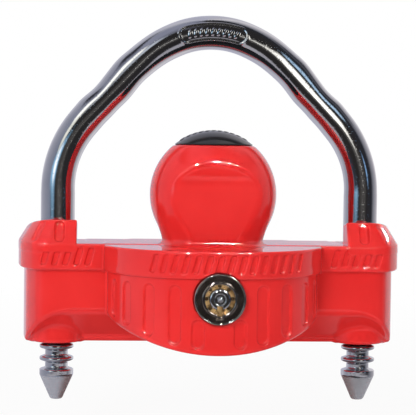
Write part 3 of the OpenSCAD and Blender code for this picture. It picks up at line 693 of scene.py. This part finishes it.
barrel = net_mesh("lock_barrel_face", barrel_field, steps_between(-9.7, 9.7, 0.2),
                  np.concatenate([steps_between(-42.7, -38.1, 0.16), steps_between(-37.6, -13.4, 1.1)]),
                  steps_between(LOCK_Z - 9.7, LOCK_Z + 9.7, 0.2))
finish_piece(barrel, "body", LOCK_CHROME, "lock_barrel")
post = net_mesh("spindle_post", post_field, steps_between(-4.1, 4.1, 0.14),
                np.concatenate([steps_between(-42.3, -38.3, 0.14), steps_between(-37.8, 9.9, 1.2)]),
                steps_between(LOCK_Z - 4.1, LOCK_Z + 4.1, 0.14))
finish_piece(post, "plug", POST, "spindle")
pins = pin_set()
# The pins' near-black finish is painted shade of their holes
finish_piece(pins, "pins", PAINTED_SHADE_PINS, "key_pins")


# Shackle: a bent bar with turned rings on its legs

BEND_X, BEND_Z, BEND_R, SLOPE = 19.15, 1.11, 38.0, math.radians(43.5)
CROWN_Z, CROWN_R, SHOULDER = 24.2, 36.0, 29.93
PITCH, GROOVE_R, LOW_GROOVE, GROOVES = 4.6, 4.25, -64.9, 11
GROOVE_HALF, GROOVE_FLAT, GROOVE_SOFT, GROOVE_SAMPLES = 1.6, 1.1, 0.28, 7
TIP_Z, TIP_R, TIP_EDGE, TIP_END_R, LAND_Z = -77.9, 2.4, 0.4, 1.9, -68.7
BEND_LENGTH = BEND_R * SLOPE
CROWN_START = BEND_LENGTH + SHOULDER
HALF_LENGTH = CROWN_START + CROWN_R * (math.pi / 2 - SLOPE)
# Places along the bar from the bend's start where its bending pressed it outward or thinner:
# length along the bar, width of the place, amount
PRESSED = ((53, 6.5, 0.85), (32.5, 3.5, 0.28), (72, 6, -0.15))
THINNED = ((14, 14, 0.18), (39.5, 4.5, 0.36), (60, 8, 0.12))
# Stamped panel on the crown's front: a sunk pill with a raised rim and plain bars
STAMP_HALF, STAMP_R, STAMP_SUNK, STAMP_EDGE = 9.6, 3.0, 0.36, 0.5
STAMP_RIM, STAMP_RIM_AT, STAMP_RIM_WIDTH = 0.11, 0.35, 0.3
STAMP_BARS, STAMP_BAR_PITCH, STAMP_BAR_HALVES = (-4, 4), 2.2, (0.55, 1.5)
STAMP_BAR_RISE, STAMP_BAR_EDGE = 0.20, 0.4
STAMP_REACH, STAMP_ABOVE = 15, 50
# Spacing of the bar's points: along its ringed legs, their plain tops, its bends and its stamp
RING_STEP, RINGS_END, PLAIN_STEP, PLAIN_START = 0.3, -14.5, 1.4, -13.5
BEND_STEP, STAMP_STEP = 0.8, 0.3
# Degrees from the bar's front within which its points lie closer together
FRONT_HALF, FRONT_STEP, BACK_STEP = 48, 2.0, 6.0


def leg_radius(z):
    """Radius of a leg: a pointed end, then rings and necks, then the plain bar."""
    heights, radii = [TIP_Z, TIP_Z + TIP_EDGE, LAND_Z], [TIP_R - TIP_EDGE, TIP_R, LEG_R]
    for k in range(GROOVES):
        c = LOW_GROOVE + k * PITCH
        heights += [c - GROOVE_HALF, c - GROOVE_FLAT, c + GROOVE_FLAT, c + GROOVE_HALF]
        radii += [LEG_R, GROOVE_R, GROOVE_R, LEG_R]
    heights.append(BEND_Z)
    radii.append(LEG_R)
    near = np.linspace(-GROOVE_SOFT, GROOVE_SOFT, GROOVE_SAMPLES)
    return np.mean([np.interp(z + d, heights, radii) for d in near], 0)


def presses(v, places):
    return sum(amount * math.exp(-((v - at) / width) ** 2) for at, width, amount in places)


def half_path():
    """The right half of the bar from its point to the crown's top: x, z, outward normal, radius
    and how far it is pressed outward and thinned."""
    z = np.concatenate([steps_between(TIP_Z, RINGS_END, RING_STEP),
                        steps_between(PLAIN_START, BEND_Z, PLAIN_STEP)[:-1]])
    rows = [(LEG_X, h, 1.0, 0.0, r, 0.0, 0.0) for h, r in zip(z, leg_radius(z))]
    rows[0] = (LEG_X, TIP_Z, 1.0, 0.0, TIP_END_R, 0.0, 0.0)
    stamp = HALF_LENGTH - STAMP_REACH
    lengths = np.concatenate([steps_between(0, stamp, BEND_STEP),
                              steps_between(stamp + STAMP_STEP, HALF_LENGTH, STAMP_STEP)])
    for v in lengths:
        if v < BEND_LENGTH:
            a = v / BEND_R
            x, h = BEND_X + BEND_R * math.cos(a), BEND_Z + BEND_R * math.sin(a)
        elif v < CROWN_START:
            a, on = SLOPE, v - BEND_LENGTH
            x = BEND_X + BEND_R * math.cos(a) - on * math.sin(a)
            h = BEND_Z + BEND_R * math.sin(a) + on * math.cos(a)
        else:
            a = SLOPE + (v - CROWN_START) / CROWN_R
            x, h = CROWN_R * math.cos(a), CROWN_Z + CROWN_R * math.sin(a)
        rows.append((x, h, math.cos(a), math.sin(a), LEG_R, presses(v, PRESSED), presses(v, THINNED)))
    return rows


def ease(distance, edge):
    """1 inside an outline and 0 outside it, eased over its edge."""
    t = np.clip(0.5 - distance / edge, 0, 1)
    return t * t * (3 - 2 * t)


def stamp_height(along, side):
    pill = capsule(side, along, -STAMP_HALF, STAMP_HALF, STAMP_R)
    rim = STAMP_RIM * np.exp(-((pill - STAMP_RIM_AT) / STAMP_RIM_WIDTH) ** 2)
    bars = slanted_bars(along, side, *STAMP_BARS, STAMP_BAR_PITCH, *STAMP_BAR_HALVES)
    return rim - STAMP_SUNK * ease(pill, STAMP_EDGE) + STAMP_BAR_RISE * ease(bars, STAMP_BAR_EDGE)


def make_shackle():
    half = half_path()
    left = [(-x, z, -nx, *rest) for x, z, nx, *rest in half]
    rows = left + half[::-1][1:]
    front = steps_between(-FRONT_HALF, FRONT_HALF, FRONT_STEP)
    rest = steps_between(FRONT_HALF, 360 - FRONT_HALF, BACK_STEP)[1:-1]
    angles = np.radians(np.concatenate([front, rest]))
    # The presses fade towards the bar's front and back, so those stay straight
    sides = np.sin(angles) ** 2
    points = []
    for x, z, nx, nz, radius, shift, thin in rows:
        r = radius - thin * sides
        # Front is -Y, and the normal points away from the loop's inside
        out, ahead = r * np.sin(angles) + shift * sides, r * np.cos(angles)
        along = math.atan2(x, z - CROWN_Z) * CROWN_R
        if z > STAMP_ABOVE and abs(along) < STAMP_REACH:
            lift = stamp_height(np.full_like(angles, along), r * angles) * (np.cos(angles) > 0)
            out = out + lift * np.sin(angles)
            ahead = ahead + lift * np.cos(angles)
        points.append(np.stack([x + nx * out, LEG_Y - ahead, z + nz * out], 1))
    faces = tube_faces(len(rows), len(angles), turned=True)
    return add_parts("shackle_bar", [(np.concatenate(points), faces)])


finish_piece(make_shackle(), "loop", CHROME, "shackle")


# Rear cover: a plate with soft edges and sunk seats for its screws

SCREWS = [(s * 45.0, z) for s in (-1, 1) for z in (-45.0, -24.65)] + [(21.25, -31.3), (-21.25, -37.9)]
SCREW_R, SCREW_SEAT_Y, SCREW_FLARE = 1.4, 25.45, 0.95


def cover_field(x, y, z):
    plate = common(np.abs(x) - COVER_X, between(z, *COVER_Z))
    body = common(rounded_max(plate, y - COVER_Y[1], r=0.6), COVER_Y[0] - y)
    for sx, sz in SCREWS:
        hole = np.hypot(x - sx, z - sz) - SCREW_R - np.maximum(y - SCREW_SEAT_Y, 0) * SCREW_FLARE
        body = rounded_max(body, -np.maximum(hole, 0), r=0.12)
    return body


cover = net_mesh("rear_cover_plate", cover_field, steps_between(-47.7, 47.7, 0.4),
                 steps_between(22.9, 26.7, 0.25), steps_between(-48.7, -20.7, 0.4))
finish_piece(cover, "body", RED, "rear_cover")


# Springs: wound coils between the body and the piece that they push

COIL_SIDES, COIL_STEPS, END_TURN = 8, 20, 1.55
# Radius, wire and turns; both ends along the axis
DRIVER_COIL, DRIVER_COIL_Y = (0.53, 0.24, 6), (-16.2, -19.4)
BOLT_COIL, BOLT_COIL_X = (2.0, 0.7, 7), (18.54, 5.55)
LEFT_COIL_Z, RIGHT_COIL_Z = -31.3, -37.9


def coil(fixed, pushed, radius, wire, turns):
    """Points and faces of a coil with closed ends, from one end of its axis to the other."""
    fixed, pushed = np.array(fixed, float), np.array(pushed, float)
    length = np.linalg.norm(pushed - fixed)
    along = (pushed - fixed) / length
    up = np.array((0.0, 0.0, 1.0))
    across = np.cross(along, up)
    turn = np.linspace(0, turns, turns * COIL_STEPS + 1)
    height = np.interp(turn, (0, 1, turns - 1, turns),
                       (wire / 2, END_TURN * wire, length - END_TURN * wire, length - wire / 2))
    angle = 2 * math.pi * turn[:, None]
    out = np.cos(angle) * up + np.sin(angle) * across
    centre = fixed + height[:, None] * along + radius * out
    heading = np.gradient(centre, axis=0)
    heading /= np.linalg.norm(heading, axis=1, keepdims=True)
    side = np.cross(heading, out)
    rings = [centre + wire / 2 * (math.cos(a) * out + math.sin(a) * side)
             for a in np.arange(COIL_SIDES) * 2 * math.pi / COIL_SIDES]
    points = np.stack(rings, 1).reshape(-1, 3)
    return points, tube_faces(len(turn), COIL_SIDES)


def spring(name, axes, shape, node):
    piece = add_parts(name, [coil(fixed, pushed, *shape) for fixed, pushed in axes])
    piece.data.materials.append(SPRING)
    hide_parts(node)
    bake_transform(piece)


spring("driver_coils", [[(x, y, z) for y in DRIVER_COIL_Y] for x, z in pin_places()], DRIVER_COIL,
       "driver_springs")
spring("left_bolt_coil", [[(x, LEG_Y, LEFT_COIL_Z) for x in BOLT_COIL_X]], BOLT_COIL,
       "left_bolt_spring")
spring("right_bolt_coil", [[(-x, LEG_Y, RIGHT_COIL_Z) for x in BOLT_COIL_X]], BOLT_COIL,
       "right_bolt_spring")


# The remaining solids keep their shape and get their own finish

FINISHES = {
    "cover_screws": ZINC, "guide_screws": ZINC, "barrel_pin": STEEL, "pin_block": BRASS,
    "driver_pins": STEEL, "bolt_guide": ZINC, "lock_plug": BRASS, "drive_cam": ZINC,
    "crank_pins": STEEL, "cam_pin": STEEL, "left_bolt": STEEL, "right_bolt": STEEL,
}
for name, finish in FINISHES.items():
    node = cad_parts[name]
    node.data.materials.clear()
    node.data.materials.append(finish)


# Studio: white floor and background, soft lamps, and a room that only the gloss shows

# Colour of the room, by degrees of azimuth from the front (-Y) towards +X
ROOM = [
    (-180, (0.62, 0.62, 0.74)), (-165, (0.66, 0.65, 0.75)), (-150, (0.74, 0.73, 0.81)),
    (-125, (0.52, 0.52, 0.60)), (-82, (0.37, 0.38, 0.46)), (-58, (0.30, 0.33, 0.42)),
    (-46, (0.050, 0.056, 0.075)), (-20, (0.032, 0.029, 0.028)), (40, (0.032, 0.030, 0.032)),
    (74, (0.032, 0.034, 0.044)), (92, (0.30, 0.30, 0.34)), (120, (0.54, 0.52, 0.56)),
    (150, (0.95, 0.91, 0.94)), (165, (0.70, 0.68, 0.75)), (180, (0.62, 0.62, 0.74)),
]
# Bright and dark patches in it: degrees of azimuth, height of the direction, half width in degrees,
# half height, rise per degree, colour
PATCHES = [
    (-55, 0.85, 50, 0.30, 0.0, (0.36, 0.37, 0.47)),
    (-95, 0.775, 30, 0.075, -0.0022, (0.035, 0.035, 0.045)),
    (-26, 0.55, 9, 0.12, 0.0, (0.75, 0.80, 0.88)),
    (-38, 0.11, 19, 0.16, 0.0, (0.50, 0.95, 1.35)),
    (-36, 0.12, 9, 0.11, 0.0, (1.80, 1.85, 1.85)),
    (-44, 0.40, 10, 0.18, 0.0, (1.35, 1.33, 1.16)),
    (-46, 0.59, 11, 0.10, 0.0, (1.90, 1.88, 1.74)),
    (6, 0.05, 26, 0.14, 0.0, (0.090, 0.084, 0.080)),
    (16, 0.170, 12, 0.095, 0.0146, (2.60, 2.52, 2.30)),
    (10, -0.03, 18, 0.05, 0.0, (0.090, 0.084, 0.080)),
    (44, 0.10, 5, 0.09, 0.0, (0.36, 0.64, 1.05)),
    (48, 0.52, 10, 0.06, 0.003, (0.70, 1.00, 1.30)),
    (95, 0.66, 16, 0.14, 0.0, (0.06, 0.06, 0.075)),
]
# Where a patch fades, as the square of its share of the half widths
PATCH_FADE = 0.10, 1.5

# The floor lies below the points at the shackle's lowest pose
FLOOR_Z, FLOOR_HALF = -0.0930, 6.0
WHITE, FLOOR_GREY = (1, 1, 1, 1), (0.90, 0.90, 0.90, 1)
FILL_STRENGTH = 0.46
# Parts of the floor that the gloss shows, in metres from the ball's centre and, for Y and X, as shares
# of that: a pale ring in front, and a painted shadow with painted red bounce light under the object and
# behind it
RING_IN, RING_OUT, RING_FRONT = (0.115, 0.131), (0.201, 0.240), (-0.25, -0.05)
RING_COLOUR = (0.52, 0.50, 0.54, 1)
UNDER_END, BEHIND_END = (0.0936, 0.104), (0.111, 0.139)
BEHIND_START, BEHIND_SIDES = (-0.05, 0.10), (0.43, 0.54)
# Colour of the painted shadow on the floor: dark, tinted by painted red bounce light from the housing
PAINTED_SHADOW_COLOUR = (0.13, 0.065, 0.066, 1)
# How much of the floor the camera sees as white, from near the object to far from it
WHITE_SHARE, WHITE_REACH = (0.90, 1.0), (0.12, 0.60)


def room_colour(graph, direction):
    x, y, z = graph.split(direction)
    turn = graph.calc("ARCTAN2", x, graph.calc("MULTIPLY", y, -1.0))
    stops = [((degrees + 180) / 360, colour) for degrees, colour in ROOM]
    colour = graph.ramp(graph.span(turn, 0, 1, -math.pi, math.pi), stops)
    for degrees, height, wide, tall, rise, light in PATCHES:
        across = graph.calc("SUBTRACT", turn, math.radians(degrees))
        along = graph.calc("SUBTRACT", z, height)
        along = graph.calc("SUBTRACT", along, graph.calc("MULTIPLY", across, math.degrees(rise)))
        across = graph.calc("DIVIDE", across, math.radians(wide))
        along = graph.calc("DIVIDE", along, tall)
        square = graph.calc("ADD", graph.calc("MULTIPLY", across, across),
                            graph.calc("MULTIPLY", along, along))
        colour = graph.mix(graph.span(square, 1, 0, *PATCH_FADE), colour, (*light, 1))
    return colour


def floor_colour(graph, place, reach):
    """What the gloss shows of the floor, which runs on into the room, with a painted shadow and painted red
    bounce under and behind the object.
    """
    direction = graph.vector("NORMALIZE", place, "Vector")
    x, y, _ = graph.split(direction)
    ring = graph.calc("MULTIPLY", graph.span(reach, 0, 1, *RING_IN), graph.span(reach, 1, 0, *RING_OUT))
    ring = graph.calc("MULTIPLY", ring, graph.span(y, 1, 0, *RING_FRONT))
    colour = graph.mix(ring, room_colour(graph, direction), RING_COLOUR)
    sideways = graph.calc("POWER", graph.calc("MULTIPLY", x, x), 0.5)
    behind = graph.calc("MULTIPLY", graph.span(reach, 1, 0, *BEHIND_END), graph.span(y, 0, 1, *BEHIND_START))
    behind = graph.calc("MULTIPLY", behind, graph.span(sideways, 1, 0, *BEHIND_SIDES))
    # Painted shadow of the object on the floor, as the gloss sees it
    under = graph.calc("MAXIMUM", behind, graph.span(reach, 1, 0, *UNDER_END))
    return graph.mix(under, colour, PAINTED_SHADOW_COLOUR)


def make_floor():
    corners = [(x * FLOOR_HALF, y * FLOOR_HALF, FLOOR_Z) for x, y in ((-1, -1), (1, -1), (1, 1), (-1, 1))]
    floor = add_mesh("studio_floor", corners, [(0, 1, 2, 3)])
    material = bpy.data.materials.new("studio_floor")
    material.use_nodes = True
    graph = Graph(material.node_tree)
    graph.nodes.clear()
    path = graph.add("LightPath").outputs
    place = graph.place()
    reach = graph.vector("LENGTH", place, "Value")
    diffuse = graph.add("BsdfDiffuse")
    diffuse.inputs["Color"].default_value = FLOOR_GREY
    white = graph.light("Emission", WHITE)
    mirror = graph.light("Emission", floor_colour(graph, place, reach))
    share = graph.calc("MULTIPLY", path["Is Camera Ray"], graph.span(reach, *WHITE_SHARE, *WHITE_REACH))
    seen = graph.choose(share, diffuse.outputs[0], white)
    mirrored = graph.calc("MAXIMUM", path["Is Glossy Ray"], path["Is Transmission Ray"])
    surface = graph.add("OutputMaterial").inputs["Surface"]
    graph.put(surface, graph.choose(mirrored, seen, mirror))
    floor.data.materials.append(material)


def make_world():
    world = bpy.data.worlds.new("studio")
    bpy.context.scene.world = world
    world.use_nodes = True
    graph = Graph(world.node_tree)
    graph.nodes.clear()
    path = graph.add("LightPath").outputs
    direction = graph.add("TexCoord").outputs["Generated"]
    mirror = graph.light("Background", room_colour(graph, direction))
    fill = graph.light("Background", WHITE, FILL_STRENGTH)
    lit = graph.choose(path["Is Glossy Ray"], fill, mirror)
    surface = graph.add("OutputWorld").inputs["Surface"]
    graph.put(surface, graph.choose(path["Is Camera Ray"], lit, graph.light("Background", WHITE)))


LAMP_AIM = Vector((0, 0, -0.01))


def lamp(name, place, size, watts, colour=(1, 1, 1), mirrored=False):
    """A soft lamp that gloss doesn't show or, where mirrored, a small one that only gloss shows."""
    data = bpy.data.lights.new(name, "AREA")
    data.shape = "RECTANGLE"
    data.size, data.size_y = size
    data.energy = watts
    data.color = colour
    if mirrored:
        data.cycles.max_bounces = 0
    obj = bpy.data.objects.new(name, data)
    obj.location = place
    obj.rotation_euler = (LAMP_AIM - Vector(place)).to_track_quat("-Z", "Y").to_euler()
    obj.visible_glossy = mirrored
    obj.visible_diffuse = not mirrored
    bpy.context.scene.collection.objects.link(obj)
    return obj


def add_sparks(pieces, sparks):
    """Small lamps that only the gloss of these pieces shows."""
    receivers = bpy.data.collections.new(sparks[0][0] + "_receivers")
    for piece in pieces:
        receivers.objects.link(piece)
    for spark in sparks:
        lamp(*spark, mirrored=True).light_linking.receiver_collection = receivers


make_floor()
make_world()
lamp("lamp_key", (-0.46, -1.02, 0.44), (0.42, 0.42), 6.0)
lamp("lamp_right", (0.62, -0.92, 0.60), (0.14, 0.14), 0.9, (0.92, 0.97, 1.0))
lamp("lamp_low", (-0.05, -1.20, 0.00), (0.80, 0.14), 0.7)
lamp("lamp_top", (0.05, 0.05, 1.15), (0.50, 0.40), 2.8)
add_sparks((housing,), (
    ("spark_top", (0.03, -0.43, 0.42), (0.08, 0.008), 50, (1.0, 0.95, 0.87)),
    ("spark_right", (0.30, -0.515, 0.535), (0.02, 0.02), 50, (1.0, 0.96, 0.88)),
    ("spark_left", (-0.325, -0.52, 0.515), (0.02, 0.02), 50, (1.0, 0.95, 0.86)),
    ("spark_side", (0.66, -0.85, 0.66), (0.06, 0.06), 14),
))
add_sparks((barrel, post, pins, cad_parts["lock_plug"]), (
    ("spark_front", (-0.02, -1.00, 0.07), (0.05, 0.05), 1.0),
    ("spark_lock", (0.05, -0.86, 0.86), (0.06, 0.06), 5, (1.0, 0.96, 0.88)),
    ("spark_rim", (0.55, -0.75, 0.60), (0.20, 0.20), 5, (0.92, 0.96, 1.0)),
))

bpy.context.scene.view_settings.view_transform = "Standard"
